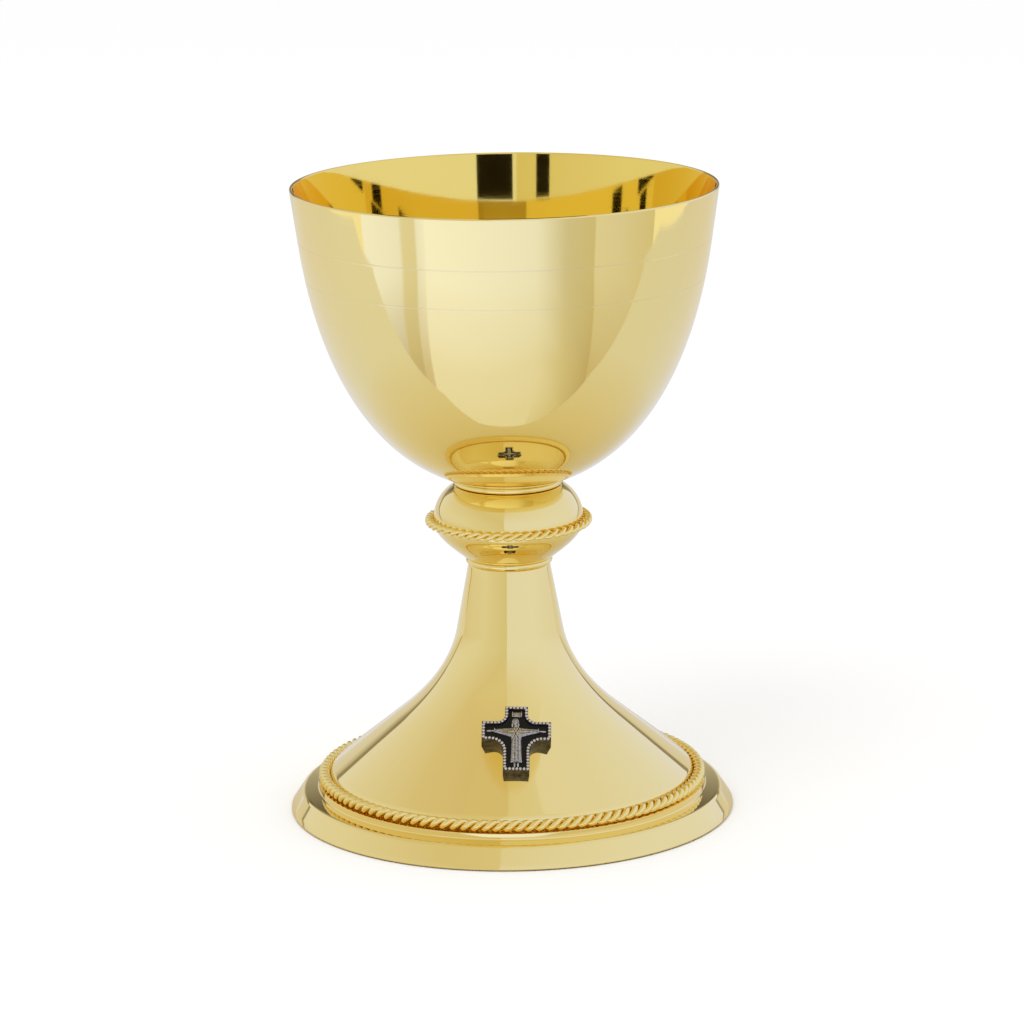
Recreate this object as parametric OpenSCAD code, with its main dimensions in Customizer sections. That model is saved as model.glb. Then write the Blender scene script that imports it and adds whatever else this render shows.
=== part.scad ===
// Gilt altar cup on a trumpet foot, with rope mouldings and a silver cross.
// Millimetres. +Z is up, the cross faces -Y, the origin is under the middle of the foot.

/* [Cup] */
// Radius of the rim, outside
rim_r = 60; // [45:0.5:75]
// Height of the cup, from the neck ring to the rim
cup_h = 83.8; // [60:0.1:110]
// Wall of the spun cup
cup_wall = 0.9; // [0.6:0.1:1.5]
// Lean of the straight upper wall from upright, in degrees
rim_lean = 8; // [2:0.5:14]
// Height of the straight upper wall
rim_band_h = 15.8; // [8:0.1:24]
// Pull of the bowl's curve below the straight wall
bowl_pull_top = 34; // [20:0.5:42]
// Pull of the bowl's curve above the neck ring
bowl_pull_low = 25; // [12:0.5:30]
// Slope of the bowl where it meets the neck ring, in degrees
bowl_slope = 18; // [12:0.5:26]
// Drop from there to the flat under the bowl
floor_drop = 0.7; // [0.4:0.05:1]

/* [Neck ring and screw] */
// Radius of the neck ring, outside
neck_r = 15.4; // [14.5:0.1:18]
// Height of the neck ring
neck_h = 1.7; // [1.4:0.05:2.4]
// Diameter of the screw thread
thread_d = 8; // [6:0.5:10]
// Length of the stud below the neck ring
stud_l = 10.8; // [8:0.1:11.5]
// Radius of the boss that holds the stud
boss_r = 9.9; // [8:0.1:11]
// Thickness of the seat washer
washer_t = 0.9; // [0.6:0.05:1.3]

/* [Knop] */
// Radius of the knop at its middle
knop_r = 21.3; // [19:0.1:26]
// Height of the upper half of the knop
knop_up_h = 10.3; // [8:0.1:14]
// Height of the lower half of the knop
knop_low_h = 10.6; // [9:0.1:14]
// Radius of the knop where it meets the stem collar
knop_foot_r = 12.4; // [11.5:0.1:14]
// Wall of the knop's two halves
knop_wall = 1; // [0.7:0.1:1.4]
// Radius of the bush inside the knop
bush_r = 8.2; // [7:0.1:9.5]

/* [Stem] */
// Height of the stem, from the foot's ledge to its top
stem_h = 63.5; // [50:0.5:90]
// Radius of the stem at its top
stem_top_r = 11.6; // [10.5:0.1:14]
// Taper of the upper stem from upright, in degrees
stem_taper = 10.6; // [6:0.1:14]
// Slope of the foot cone above level, in degrees
cone_angle = 38.9; // [32:0.1:46]
// Reach of the flare up the stem
flare_up = 13.5; // [8:0.5:16]
// Reach of the flare down the cone
flare_down = 18.4; // [10:0.1:20]
// Height of the skirt that turns down onto the foot
skirt_h = 3.2; // [2.4:0.1:5]
// Wall of the spun stem
stem_wall = 1; // [0.7:0.1:1.4]
// Height of the collar on top of the stem
collar_h = 1.9; // [1.4:0.1:2.8]

/* [Foot] */
// Radius of the foot at the table
foot_r = 63.5; // [55:0.5:80]
// Height of the foot's ledge
foot_h = 8; // [6.5:0.1:10]
// Width of the step from the stem's skirt to the foot's edge
foot_step = 11.4; // [9.5:0.1:15]
// Height of the riser between the rope's ledge and the flange
riser_h = 1.8; // [1.7:0.1:2.4]
// Fillet at the foot of the riser
riser_fillet = 0.4; // [0.2:0.1:0.5]
// Slope of the flange below level, in degrees
flange_slope = 4.5; // [2:0.5:8]
// Lean of the foot's rim from upright, in degrees
foot_lean = 31; // [26:0.5:34]
// Rounding between the flange and the rim
foot_round = 0.8; // [0.8:0.1:1.4]
// Wall of the foot ring
foot_wall = 1.2; // [0.8:0.1:1.3]

/* [Rope mouldings] */
// Diameter of the rope round the knop
knop_rope_d = 2.5; // [1.8:0.1:3.2]
// Turns of twist in the rope round the knop
knop_rope_turns = 24; // [20:1:40]
// Diameter of the rope round the foot
foot_rope_d = 3.4; // [2.6:0.1:3.8]
// Turns of twist in the rope round the foot
foot_rope_turns = 56; // [36:1:60]

/* [Cross] */
// Width across the arms
cross_w = 19.4; // [16:0.1:24]
// Height of the cross
cross_h = 21.6; // [18:0.1:26]
// Height of the cross above the middle of its arms
cross_head_h = 8.2; // [7:0.1:10]
// Width of the side arms
cross_arm_w = 6.2; // [5:0.1:7.5]
// Width of the upper arm
cross_head_w = 6.4; // [5.6:0.1:7.5]
// Width of the lower arm
cross_foot_w = 7.4; // [6:0.1:8.5]
// Fillet between the upper arm and the side arms
cross_round_up = 2.4; // [1.4:0.1:3]
// Fillet between the lower arm and the side arms
cross_round_low = 3.6; // [2.4:0.1:4.4]
// Height of the face above the cone
cross_t = 2.7; // [2.3:0.1:4]
// Width of the border round the sunk field
cross_border = 1; // [0.7:0.05:1.3]
// Depth of the sunk field
field_depth = 0.8; // [0.5:0.05:1.2]
// Distance of the arms from the skirt, up the cone
cross_rise = 27.8; // [25:0.1:30]
// Turn of the cross on the cone, in degrees
cross_turn = 3; // [-5:0.5:5]

/* [Fastening] */
// Thickness of the plain washer under the bolt
plain_washer_t = 1.6; // [1:0.1:2]
// Thickness of the spring washer
spring_washer_t = 2; // [1.4:0.1:2.4]
// Height of the bolt's head
bolt_head_h = 5.3; // [4:0.1:6.5]
// Width of the bolt's head across its flats
bolt_head_af = 13; // [11:0.5:14]
// Diameter of the two pegs behind the cross
peg_d = 2.4; // [1.6:0.1:3]
// Metal between the pegs and the sunk field
peg_cover = 0.8; // [0.6:0.1:1]
// Reach of the pegs inside the stem
peg_reach = 2.5; // [2:0.1:4]

/* [Hidden] */
$fn = 96;

gilt = "#dfbb56";
brass = "#c39a45";
steel = "#a9adb0";
fibre = "#7a3b28";
dark_silver = "#5b5546";
niello = "#17150f";
silver = "#c9c8c2";

solder_gap = 0.05;  // between pieces that are soldered or brazed
turn_gap = 0.08;    // round a screw or a washer that turns
seat_gap = 0.1;     // under the neck ring, which the seat washer carries
land_h = 0.5;       // upright edge where a spun shell stands or meets another
curve_steps = 16;
round_steps = 5;

stem_top_z = foot_h + stem_h;
knop_z = stem_top_z + collar_h;
knop_mid_z = knop_z + knop_low_h;
knop_top_z = knop_mid_z + knop_up_h;
neck_z = knop_top_z + seat_gap;
cup_z = neck_z + neck_h;
rim_z = cup_z + cup_h;
floor_z = cup_z - floor_drop;

screw_r = thread_d / 2;
clear_r = screw_r + 0.4;
stud_z = neck_z - stud_l;
bush_flange_r = neck_r - 1.5;
bush_flange_t = washer_t + 1;
bush_z = knop_z + knop_wall;
washer_z = neck_z - washer_t;
bolt_tip_z = stud_z - 1;
plain_washer_z = stem_top_z - stem_wall - plain_washer_t;
spring_washer_z = plain_washer_z - spring_washer_t;
bolt_head_z = spring_washer_z - bolt_head_h;
skirt_r = foot_r - foot_step;

// Points and outlines, as [radius, height]
function reversed(list) = [for (i = [len(list) - 1 : -1 : 0]) list[i]];
function unit(v) = v / norm(v);
function right_of(v) = [v[1], -v[0]];
function toward(a, b, distance) = a + distance * unit(b - a);

function bezier(points, t) =
    len(points) == 1 ? points[0]
    : bezier([for (i = [1 : len(points) - 1]) (1 - t) * points[i - 1] + t * points[i]], t);
function curve(points, steps) = [for (i = [0 : steps]) bezier(points, i / steps)];
function corner(a, b, c, before, after, steps) =
    curve([toward(b, a, before), b, toward(b, c, after)], steps);
function arc(centre, radius, from, to, steps) =
    [for (i = [0 : steps]) let (a = from + (to - from) * i / steps)
        centre + radius * [cos(a), sin(a)]];

// The same outline moved to its right by the wall, which is inwards on every shell here
function inset_path(path, wall) =
    [for (i = [0 : len(path) - 1])
        let (last = len(path) - 1,
             before = unit(path[max(i, 1)] - path[max(i, 1) - 1]),
             after = unit(path[min(i, last - 1) + 1] - path[min(i, last - 1)]),
             n1 = right_of(before),
             n2 = right_of(after))
        path[i] + wall * (n1 + n2) / (1 + n1 * n2)];

module spun(path, wall) {
    rotate_extrude() polygon(concat(path, reversed(inset_path(path, wall))));
}

module ring(inner_r, outer_r, z, height) {
    translate([0, 0, z]) difference() {
        cylinder(r = outer_r, h = height);
        translate([0, 0, -1]) cylinder(r = inner_r, h = height + 2);
    }
}

// Cup: a straight band under the rim, one long curve, and a flat for the stud
lip_c = [rim_r - cup_wall / 2, rim_z - cup_wall / 2];
lip_out = lip_c + cup_wall / 2 * [cos(rim_lean), -sin(rim_lean)];
band_end = lip_out - rim_band_h * [tan(rim_lean), 1];
bowl_end = [neck_r, cup_z];
bowl_path = curve([
    band_end,
    band_end - bowl_pull_top * [sin(rim_lean), cos(rim_lean)],
    bowl_end + bowl_pull_low * [cos(bowl_slope), sin(bowl_slope)],
    bowl_end,
], 2 * curve_steps);
floor_bend = [neck_r - floor_drop / tan(bowl_slope), floor_z];
floor_path = corner(bowl_end, floor_bend, [0, floor_z],
    norm(bowl_end - floor_bend) * 0.98, norm(bowl_end - floor_bend), round_steps);
cup_path = concat([lip_out], bowl_path, floor_path, [[0, floor_z]]);

module cup() {
    lip = arc(lip_c, cup_wall / 2, 180 - rim_lean, -rim_lean, 2 * round_steps);
    lip_crown = [for (i = [1 : 2 * round_steps - 1]) lip[i]];
    color(gilt) rotate_extrude()
        polygon(concat(lip_crown, cup_path, reversed(inset_path(cup_path, cup_wall))));
}

module neck_ring() {
    bead_r = (neck_h + solder_gap) / 2;
    under_cup = [for (p = cup_path) p - [0, solder_gap]];
    color(gilt) rotate_extrude() difference() {
        union() {
            translate([neck_r - bead_r, neck_z + bead_r]) circle(bead_r);
            translate([boss_r + solder_gap, neck_z])
                square([neck_r - bead_r - boss_r - solder_gap, 2 * bead_r]);
        }
        polygon(concat(under_cup, [[0, rim_z]]));
    }
}

module cup_stud() {
    tip = screw_r / 4;
    color(brass) rotate_extrude() polygon([
        [0, floor_z], [boss_r, floor_z], [boss_r, neck_z], [screw_r, neck_z],
        [screw_r, stud_z + tip], [screw_r - tip, stud_z], [0, stud_z],
    ]);
}

module seat_washer() {
    color(fibre) ring(screw_r + turn_gap, boss_r, washer_z, washer_t);
}

// Knop: two spun halves on a bush, with the rope over their seam
module knop_upper() {
    rise = knop_up_h - land_h;
    depth = knop_r - neck_r;
    belly_r = (depth * depth + rise * rise) / (2 * depth);
    belly_c = [knop_r - belly_r, knop_mid_z + land_h];
    color(gilt) spun(concat(
        [[bush_flange_r + solder_gap, knop_top_z]],
        arc(belly_c, belly_r, asin(rise / belly_r), 0, curve_steps),
        [[knop_r, knop_mid_z]]
    ), knop_wall);
}

module knop_lower() {
    belly = curve([
        [knop_r, knop_mid_z - land_h],
        [knop_r, knop_mid_z - 0.4 * knop_low_h],
        [knop_foot_r + 0.3 * (knop_r - knop_foot_r), knop_z + 0.2 * knop_low_h],
        [knop_foot_r, knop_z],
    ], curve_steps);
    color(gilt) spun(concat([[knop_r, knop_mid_z]], belly, [[clear_r, knop_z]]), knop_wall);
}

module knop_bush() {
    color(brass) rotate_extrude() difference() {
        polygon([
            [screw_r + turn_gap, bush_z], [bush_r, bush_z],
            [bush_r, knop_top_z - bush_flange_t], [bush_flange_r, knop_top_z - bush_flange_t],
            [bush_flange_r, knop_top_z], [screw_r + turn_gap, knop_top_z],
        ]);
        translate([0, washer_z]) square([boss_r + turn_gap, washer_t]);
    }
}

// A closed rope of two strands twisted round a circle
module rope(ring_r, z, diameter, turns) {
    rings = 5 * turns;
    sides = 6;
    coil_r = diameter / 4;
    strand_r = coil_r - solder_gap / 2;
    for (start = [0, 180]) {
        points = [for (i = [0 : rings - 1], j = [0 : sides - 1])
            let (a = 360 * i / rings,
                 twist = turns * a + start,
                 out = [cos(a), sin(a), 0],
                 along = [-sin(a), cos(a), 0],
                 up = [0, 0, 1],
                 away = cos(twist) * out + sin(twist) * up,
                 round = -sin(twist) * out + cos(twist) * up,
                 run = unit((ring_r + coil_r * cos(twist)) * along + turns * coil_r * round),
                 side = cross(run, away),
                 b = 360 * j / sides)
            ring_r * out + z * up + coil_r * away
                + strand_r * (cos(b) * away + sin(b) * side)];
        faces = [for (i = [0 : rings - 1], j = [0 : sides - 1])
            let (i2 = (i + 1) % rings, j2 = (j + 1) % sides,
                 p = sides * i, q = sides * i2)
            each [[p + j, q + j, q + j2], [p + j, q + j2, p + j2]]];
        polyhedron(points, faces);
    }
}

module knop_rope() {
    color(gilt) rope(knop_r + knop_rope_d / 2 + solder_gap, knop_mid_z, knop_rope_d, knop_rope_turns);
}

// Stem: a tapered tube that flares into a cone and turns down onto the foot
stem_edge = [stem_top_r, stem_top_z];
skirt_edge = [skirt_r, foot_h + skirt_h];
cone_run = (skirt_edge[0] - stem_edge[0] - (stem_edge[1] - skirt_edge[1]) * tan(stem_taper))
    / (cos(cone_angle) - sin(cone_angle) * tan(stem_taper));
flare = skirt_edge + cone_run * [-cos(cone_angle), sin(cone_angle)];
stem_path = concat(
    [[clear_r, stem_top_z]],
    corner([0, stem_top_z], stem_edge, flare, 0.5, 0.5, round_steps),
    corner(stem_edge, flare, skirt_edge, flare_up, flare_down, curve_steps),
    corner(flare, skirt_edge, [skirt_r, foot_h], 1.2, 1.2, round_steps),
    [[skirt_r, foot_h]]
);

module stem_collar() {
    bead_r = collar_h / 2;
    color(gilt) rotate_extrude() {
        translate([knop_foot_r - bead_r, stem_top_z + bead_r]) circle(bead_r);
        translate([clear_r, stem_top_z]) square([knop_foot_r - bead_r - clear_r, collar_h]);
    }
}

module stem() {
    color(gilt) difference() {
        spun(stem_path, stem_wall);
        on_cone() pegs(solder_gap);
    }
}

module stem_bolt() {
    corner_r = bolt_head_af / sqrt(3);
    bevel = corner_r - bolt_head_af / 2;
    color(steel) {
        translate([0, 0, bolt_head_z + bolt_head_h]) {
            cylinder(r = screw_r, h = bolt_tip_z - bolt_head_z - bolt_head_h);
        }
        intersection() {
            translate([0, 0, bolt_head_z]) cylinder(r = corner_r, h = bolt_head_h, $fn = 6);
            rotate_extrude() polygon([
                [0, bolt_head_z], [bolt_head_af / 2, bolt_head_z],
                [bolt_head_af / 2 + 2 * bevel, bolt_head_z + bevel],
                [bolt_head_af / 2 + 2 * bevel, bolt_head_z + bolt_head_h],
                [0, bolt_head_z + bolt_head_h],
            ]);
        }
    }
}

module plain_washer() {
    color(steel) ring(clear_r, 2 * screw_r, plain_washer_z, plain_washer_t);
}

module spring_washer() {
    split = 6;
    color(steel) rotate(split) rotate_extrude(angle = 360 - 2 * split)
        translate([screw_r + turn_gap, spring_washer_z]) square([2.3, spring_washer_t]);
}

// Foot: a stepped ring that stands on its lower edge, with the rope on its ledge and a flange below
ledge_r = skirt_r + foot_rope_d + 2 * solder_gap;
riser_foot = [ledge_r, foot_h - riser_h];
flange_fall = (foot_r - ledge_r) * tan(flange_slope);
foot_bend_z = (riser_foot[1] - flange_fall) / (1 - tan(foot_lean) * tan(flange_slope));
foot_bend = [foot_r - foot_bend_z * tan(foot_lean), foot_bend_z];

module foot_ring() {
    color(gilt) spun(concat(
        [[skirt_r - 2 * stem_wall, foot_h], [ledge_r, foot_h]],
        corner([ledge_r, foot_h], riser_foot, foot_bend, riser_fillet, riser_fillet, round_steps),
        corner(riser_foot, foot_bend, [foot_r, land_h], foot_round, foot_round, round_steps),
        [[foot_r, land_h], [foot_r, 0]]
    ), foot_wall);
}

module foot_rope() {
    rope_r = foot_rope_d / 2 + solder_gap;
    color(gilt) rope(skirt_r + rope_r, foot_h + rope_r, foot_rope_d, foot_rope_turns);
}

// Cross: its own frame has x across, y up the cone and z out of the face
cross_at = skirt_edge + cross_rise * [-cos(cone_angle), sin(cone_angle)]
    + cross_t * [sin(cone_angle), cos(cone_angle)];
field_z = -field_depth;
field_t = 0.3;
cross_low_h = cross_h - cross_head_h;

module on_cone() {
    translate([0, -cross_at[0], cross_at[1]]) rotate([cone_angle, 0, 0]) rotate(-cross_turn)
        children();
}

module arm(half_w, length, half_arm_w, fillet) {
    translate([-half_w, 0]) square([2 * half_w, length]);
    for (side = [0, 1]) mirror([side, 0]) translate([half_w, half_arm_w]) difference() {
        translate([-half_w, -half_arm_w]) square([half_w + fillet, half_arm_w + fillet]);
        translate([fillet, fillet]) circle(fillet);
    }
}

module cross_outline(inset) {
    half_arm_w = cross_arm_w / 2 - inset;
    translate([inset - cross_w / 2, -half_arm_w]) square([cross_w - 2 * inset, 2 * half_arm_w]);
    arm(cross_head_w / 2 - inset, cross_head_h - inset, half_arm_w, cross_round_up + inset);
    mirror([0, 1])
        arm(cross_foot_w / 2 - inset, cross_low_h - inset, half_arm_w, cross_round_low + inset);
}

module pegs(gap) {
    peg_top = field_z - peg_cover;
    peg_end = -cross_t - stem_wall - peg_reach;
    for (y = [cross_head_h / 2, -cross_low_h * 0.65])
        translate([0, y, peg_end]) cylinder(d = peg_d + 2 * gap, h = peg_top + gap - peg_end);
}

module cross_body() {
    reach = 2 * cross_t;
    color(dark_silver) difference() {
        on_cone() translate([0, 0, -reach]) linear_extrude(reach) cross_outline(0);
        on_cone() translate([0, 0, field_z]) linear_extrude(reach) cross_outline(cross_border);
        rotate_extrude() polygon(concat(
            inset_path(stem_path, -solder_gap), [[0, foot_h], [0, stem_top_z]]
        ));
        on_cone() pegs(solder_gap);
    }
}

module cross_field() {
    color(niello) on_cone() translate([0, 0, field_z]) linear_extrude(field_t)
        cross_outline(cross_border + solder_gap);
}

// Robed figure with open arms, in low relief
figure_z = field_z + field_t;
shoulder_y = cross_arm_w * 0.18;
hem_y = -cross_low_h * 0.79;
hand_x = cross_w * 0.44;

module cross_figure() {
    sleeve = [
        [0, shoulder_y], [hand_x * 0.72, 0.5], [hand_x * 0.76, -0.5],
        [hand_x * 0.3, -1.3], [1.5, -2.2], [0, -2.2],
    ];
    robe = [[0, shoulder_y], [1.6, shoulder_y], [1.45, -3], [1.7, hem_y], [0, hem_y]];
    foot_l = cross_low_h - cross_border + hem_y - 0.3;
    color(silver) on_cone() translate([0, 0, figure_z]) {
        for (side = [0, 1]) mirror([side, 0]) {
            linear_extrude(0.6) polygon(sleeve);
            linear_extrude(0.8) polygon(robe);
            linear_extrude(0.45) translate([hand_x * 0.7, -0.35]) square([hand_x * 0.3, 0.7]);
            linear_extrude(0.5) translate([0.25, hem_y - foot_l]) square([0.7, foot_l + 0.2]);
        }
        translate([0, shoulder_y + 1.2]) intersection() {
            sphere(1.4);
            translate([-2, -2, 0]) cube([4, 4, 2]);
        }
    }
}

module cross_plaque() {
    plaque = [2.6, 1.7];
    color(silver) on_cone() translate([-plaque[0] / 2, cross_head_h - cross_border - 2.4, figure_z])
        cube([plaque[0], plaque[1], 0.4]);
}

module cross_pegs() {
    color(silver) on_cone() pegs(0);
}

cup();
neck_ring();
cup_stud();
seat_washer();
knop_upper();
knop_lower();
knop_bush();
knop_rope();
stem_collar();
stem();
stem_bolt();
plain_washer();
spring_washer();
foot_ring();
foot_rope();
cross_body();
cross_field();
cross_figure();
cross_plaque();
cross_pegs();
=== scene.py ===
"""Gilt altar cup on a trumpet foot: the finish of every piece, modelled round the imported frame."""

import math

import bmesh
import bpy
from bpy.props import FloatProperty, FloatVectorProperty, IntProperty, PointerProperty
from mathutils import Matrix, Vector
from mathutils.geometry import interpolate_bezier


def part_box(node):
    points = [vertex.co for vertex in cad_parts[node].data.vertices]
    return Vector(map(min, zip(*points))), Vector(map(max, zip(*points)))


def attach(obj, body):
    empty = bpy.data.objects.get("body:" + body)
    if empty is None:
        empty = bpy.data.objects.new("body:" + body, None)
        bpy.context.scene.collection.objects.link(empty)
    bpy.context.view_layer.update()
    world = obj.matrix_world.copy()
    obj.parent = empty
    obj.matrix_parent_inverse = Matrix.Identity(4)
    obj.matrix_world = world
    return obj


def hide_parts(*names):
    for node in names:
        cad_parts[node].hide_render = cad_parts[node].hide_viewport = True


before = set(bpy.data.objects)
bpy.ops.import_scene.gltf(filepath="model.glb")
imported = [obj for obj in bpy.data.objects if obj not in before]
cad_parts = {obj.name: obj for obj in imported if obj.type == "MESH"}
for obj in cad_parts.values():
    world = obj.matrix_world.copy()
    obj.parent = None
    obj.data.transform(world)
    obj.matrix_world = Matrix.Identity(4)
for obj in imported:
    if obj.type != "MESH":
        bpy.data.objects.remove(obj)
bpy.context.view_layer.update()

bl_info = {
    "name": "Gilt altar cup",
    "version": (1, 0, 0),
    "blender": (4, 5, 0),
    "location": "3D View > Sidebar > Altar cup",
    "description": "Models and finishes a gilt altar cup with rope mouldings and a silver cross",
    "category": "Mesh",
}

MM = 0.001
FULL_TURN = 2 * math.pi
SPIN_STEPS = 256
SHARP_ANGLE = math.radians(38)
LONGEST_STEP = 1.5 * MM
SAME_PLACE = 0.001 * MM
AXIS = Vector((0, 0, 1))
# Film of solder, braze or fused metal between two pieces
SOLDER = 0.05 * MM
# Room round the stud, which turns in the washer
TURN_GAP = 0.08 * MM

CUP_LOW, CUP_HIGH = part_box("cup")
NECK_LOW, NECK_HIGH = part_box("neck_ring")
STUD_LOW, STUD_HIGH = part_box("cup_stud")
WASHER_LOW, WASHER_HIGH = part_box("seat_washer")
KNOP_TOP_LOW, KNOP_TOP_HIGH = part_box("knop_upper")
KNOP_BASE_LOW, KNOP_BASE_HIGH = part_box("knop_lower")
COLLAR_LOW, COLLAR_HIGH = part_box("stem_collar")
STEM_LOW, STEM_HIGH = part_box("stem")
FOOT_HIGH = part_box("foot_ring")[1]


def linear(hex_colour):
    """Turn an sRGB hex colour into the linear RGBA that the shaders take."""
    parts = [int(hex_colour[i:i + 2], 16) / 255 for i in (1, 3, 5)]
    return tuple(c / 12.92 if c <= 0.04045 else ((c + 0.055) / 1.055) ** 2.4 for c in parts) + (1.0,)


def length(name, description, millimetres):
    """A length that a user can change, with its default in millimetres."""
    return FloatProperty(name=name, description=description, default=millimetres * MM,
                         unit="LENGTH", precision=5)


def angle(name, description, degrees):
    """An angle that a user can change, with its default in degrees."""
    return FloatProperty(name=name, description=description, default=math.radians(degrees),
                         subtype="ANGLE")


def colour(name, description, hex_colour):
    """A colour that a user can change, with its default as sRGB hex."""
    return FloatVectorProperty(name=name, description=description, default=linear(hex_colour),
                               size=4, min=0, max=1, subtype="COLOR")


class CupSizes(bpy.types.PropertyGroup):
    """The bowl, its neck ring and its screw stud."""
    rim_radius: length("Rim radius", "Radius of the rim, outside", CUP_HIGH.x / MM)
    wall: length("Wall", "Thickness of the spun bowl", 0.9)
    rim_lean: angle("Rim lean", "Lean of the straight upper wall from upright", 8)
    rim_band: length("Rim band", "Height of the straight upper wall", 15.8)
    pull_top: length("Upper pull", "Pull of the bowl's curve below the straight wall", 34)
    pull_low: length("Lower pull", "Pull of the bowl's curve above the neck ring", 25)
    slope: angle("Slope", "Slope of the bowl where it meets the neck ring", 18)
    floor_drop: length("Floor drop", "Drop from the neck ring to the flat under the bowl", 0.7)
    upper_line: length("Upper line", "Depth of the upper scribed line below the rim", 14.5)
    lower_line: length("Lower line", "Depth of the lower scribed line below the rim", 25.4)
    line_width: length("Line width", "Width of a scribed line", 0.3)
    line_depth: length("Line depth", "Depth of a scribed line", 0.02)
    thread_pitch: length("Thread pitch", "Rise of the stud's thread in one turn", 1.25)
    thread_radius: length("Thread radius", "Radius over the crests of the stud's thread", 4)
    thread_depth: length("Thread depth", "Depth of the stud's thread", 0.68)


class StandSizes(bpy.types.PropertyGroup):
    """The knop, the stem and the foot."""
    knop_foot_radius: length("Knop foot", "Radius of the knop where it meets the collar", 12.4)
    knop_wall: length("Knop wall", "Wall of the knop's two halves", 1)
    land: length("Land", "Upright edge where a spun shell stands or meets another", 0.5)
    bolt_hole: length("Bolt hole", "Radius of the hole for the bolt", 4.4)
    stem_radius: length("Stem radius", "Radius of the stem at its top", 11.6)
    stem_taper: angle("Stem taper", "Taper of the upper stem from upright", 10.6)
    cone_angle: angle("Cone angle", "Slope of the foot cone above level", 38.9)
    flare_up: length("Flare up", "Reach of the flare up the stem", 13.5)
    flare_down: length("Flare down", "Reach of the flare down the cone", 18.4)
    skirt_height: length("Skirt", "Height of the skirt that turns down onto the foot", 3.2)
    stem_wall: length("Stem wall", "Wall of the spun stem", 1)
    ledge_radius: length("Ledge radius", "Radius of the ledge that carries the foot's rope", 55.6)
    riser: length("Riser", "Height of the riser between that ledge and the flange", 1.8)
    riser_fillet: length("Riser fillet", "Fillet at the foot of the riser", 0.4)
    flange_slope: angle("Flange slope", "Slope of the foot's flange below level", 4.5)
    foot_lean: angle("Foot lean", "Lean of the foot's rim from upright", 31)
    foot_round: length("Foot rounding", "Rounding between the flange and the rim", 0.8)
    foot_wall: length("Foot wall", "Wall of the foot ring", 1.2)


class RopeSizes(bpy.types.PropertyGroup):
    """The two rings of twisted wire."""
    knop_diameter: length("Knop rope", "Diameter of the rope round the knop", 2.5)
    knop_turns: IntProperty(name="Knop rope turns", description="Twists in that rope", default=24)
    foot_diameter: length("Foot rope", "Diameter of the rope round the foot", 3.4)
    foot_turns: IntProperty(name="Foot rope turns", description="Twists in that rope", default=56)


class CrossSizes(bpy.types.PropertyGroup):
    """The cast cross, its beads, its black ground and its figure."""
    width: length("Width", "Width across the arms", 19.4)
    height: length("Height", "Height of the cross", 21.6)
    head_height: length("Head height", "Height above the middle of the arms", 8.2)
    arm_width: length("Arm width", "Width of the side arms", 6.2)
    head_width: length("Head width", "Width of the upper arm", 6.4)
    foot_width: length("Foot width", "Width of the lower arm", 7.4)
    upper_fillet: length("Upper fillet", "Fillet between the upper arm and the side arms", 2.4)
    lower_fillet: length("Lower fillet", "Fillet between the lower arm and the side arms", 3.6)
    thickness: length("Thickness", "Height of the face above the cone", 2.7)
    border: length("Border", "Width of the border round the sunk field", 1)
    field_depth: length("Field depth", "Depth of the sunk field", 0.8)
    ground: length("Ground", "Thickness of the black ground in the field", 0.3)
    rise: length("Rise", "Distance of the arms from the skirt, up the cone", 27.8)
    turn: angle("Turn", "Turn of the cross on the cone, clockwise", 3)
    bead: length("Bead", "Diameter of the beads on the border", 0.95)
    bead_pitch: length("Bead pitch", "Distance from bead to bead", 1.02)


class Finishes(bpy.types.PropertyGroup):
    """Colours of the finishes."""
    gold: colour("Gold", "Mirror polished gold plate", "#F5DE8A")
    # Painted reflection: this deeper gold stands in for the deeper yellow that the bowl's inside shows from
    # mirroring its own gold. The spun insides also take it as a random second tone.
    deep_gold_and_painted_reflection: colour("Deep gold", "Thicker and purer gold plate inside the bowl", "#F7D968")
    scribed: colour("Scribed", "Gold in a scribed line, which the mop doesn't reach", "#F0DC98")
    brass: colour("Brass", "Turned brass", "#D3B069")
    zinc: colour("Zinc", "Zinc plate on steel", "#B9BCBE")
    leather: colour("Leather", "Vegetable tanned leather", "#7A4526")
    leather_dark: colour("Dark leather", "Creases and pores in the leather", "#4B2815")
    tarnish: colour("Tarnish", "Silver darkened by oxidation", "#3A342A")
    tarnish_worn: colour("Worn tarnish", "Darkened silver where handling has thinned it", "#6E6655")
    niello: colour("Niello", "Black ground of the cross", "#0C0B09")
    silver: colour("Silver", "Rubbed cast silver", "#DBD4C0")


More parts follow.
